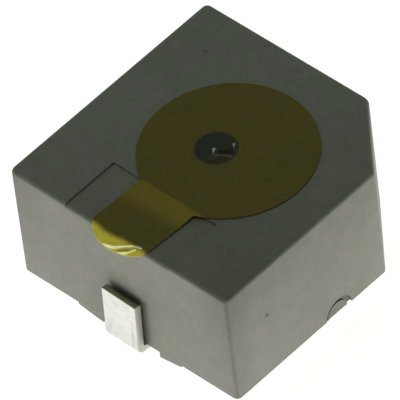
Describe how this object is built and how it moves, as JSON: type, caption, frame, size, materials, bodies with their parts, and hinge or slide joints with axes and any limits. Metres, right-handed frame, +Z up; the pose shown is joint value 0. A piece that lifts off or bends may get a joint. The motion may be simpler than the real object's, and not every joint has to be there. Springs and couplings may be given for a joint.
{
  "type": "magnetic buzzer",
  "caption": "Square surface-mount magnetic buzzer with one cut corner, two folded side terminals and an amber pull-tab film over its sound hole.",
  "frame": {"origin": "middle of the case, on the plane of the solder feet", "axes": "+Z up through the sound hole, -Y towards the side that the pull tab hangs over, +X towards the side with the gate mark; the cut corner lies between +X and +Y"},
  "size_m": [0.013, 0.0141, 0.0069],
  "materials": {
    "case": "fine matt moulded surface, dark grey",
    "tape": "clear amber film, glossy, slightly wrinkled at the tab",
    "tin": "satin tin plating, dull where sheared",
    "base": "matt moulded surface",
    "resin": "cast black resin, smooth",
    "board": "green solder mask",
    "solder": "solder, satin",
    "iron": "nickel-plated soft iron",
    "magnet": "bonded magnet, matt",
    "bobbin": "natural moulded plastic",
    "copper": "enamelled copper wire",
    "spring_steel": "bright rolled steel",
    "chip": "black moulding compound",
    "ceramic": "coated ceramic chip"
  },
  "bodies": {
    "root": {"housing": "case", "seal_tape": "tape", "terminal_front": "tin", "terminal_back": "tin", "base_plate": "base", "epoxy_seal": "resin", "circuit_board": "board", "terminal_solder": "solder", "lead_solder": "solder", "yoke_plate": "iron", "pole_core": "iron", "ring_magnet": "magnet", "coil_bobbin": "bobbin", "coil_winding": "copper", "coil_leads": "copper", "support_ring": "bobbin", "diaphragm": "spring_steel", "armature_disc": "iron", "transistor_body": "chip", "transistor_leads": "tin", "diode_body": "chip", "diode_leads": "tin", "base_resistor": "ceramic"}
  },
  "joints": []
}
